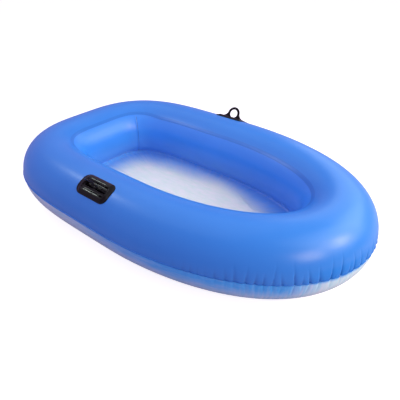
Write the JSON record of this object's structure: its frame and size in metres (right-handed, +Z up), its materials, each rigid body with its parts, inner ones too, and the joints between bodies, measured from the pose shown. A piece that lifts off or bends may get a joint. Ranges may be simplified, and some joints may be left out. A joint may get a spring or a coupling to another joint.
{
  "type": "inflatable boat",
  "caption": "Small one-person inflatable boat: ring-shaped tube round a deep cockpit, clear bottom sheet, moulded oarlock rings on the sides and a push-in valve.",
  "frame": {"origin": "on the ground under the middle of the boat's overall length and width", "axes": "+X towards the rounder bow along the longest side, +Z up, +Y to port"},
  "size_m": [1.376, 0.888, 0.2765],
  "materials": {
    "blue_top_film": "satin calendered PVC film",
    "blue_wall_film": "satin calendered PVC film",
    "clear_film": "clear calendered PVC film",
    "black_vinyl": "glossy moulded soft PVC",
    "clear_vinyl": "clear moulded soft PVC"
  },
  "bodies": {
    "hull": {"top_film": "blue_top_film", "wall_band": "blue_wall_film", "bottom_sheet": "clear_film", "oarlock_base_port": "black_vinyl", "oarlock_base_starboard": "black_vinyl", "valve_flange": "clear_vinyl"},
    "oarlock_ring_port": {"oarlock_ring_port": "black_vinyl"},
    "oarlock_ring_starboard": {"oarlock_ring_starboard": "black_vinyl"},
    "valve_stem": {"valve_stem": "clear_vinyl"},
    "valve_cap": {"valve_cap": "clear_vinyl"},
    "valve_flap": {"valve_flap": "clear_vinyl"}
  },
  "joints": [
    {"name": "oarlock_flex_port", "type": "hinge", "parent": "hull", "child": "oarlock_ring_port", "pos_m": [-0.071, 0.3811, 0.23027], "axis": [1, 0, 0], "range_deg": [-60, 60], "stiffness_Nm_per_rad": 0.3},
    {"name": "oarlock_flex_starboard", "type": "hinge", "parent": "hull", "child": "oarlock_ring_starboard", "pos_m": [-0.071, -0.3811, 0.23027], "axis": [1, 0, 0], "range_deg": [-60, 60], "stiffness_Nm_per_rad": 0.3},
    {"name": "valve_stem_pull", "type": "slide", "parent": "hull", "child": "valve_stem", "axis": [0, 1, 0], "range_m": [0, 0.012]},
    {"name": "valve_cap_swing", "type": "hinge", "parent": "valve_stem", "child": "valve_cap", "pos_m": [0, -0.19392, 0.13259], "axis": [1, 0, 0], "range_deg": [0, 150]},
    {"name": "valve_flap_swing", "type": "hinge", "parent": "valve_stem", "child": "valve_flap", "pos_m": [0, -0.22632, 0.12559], "axis": [-1, 0, 0], "range_deg": [0, 50]}
  ]
}
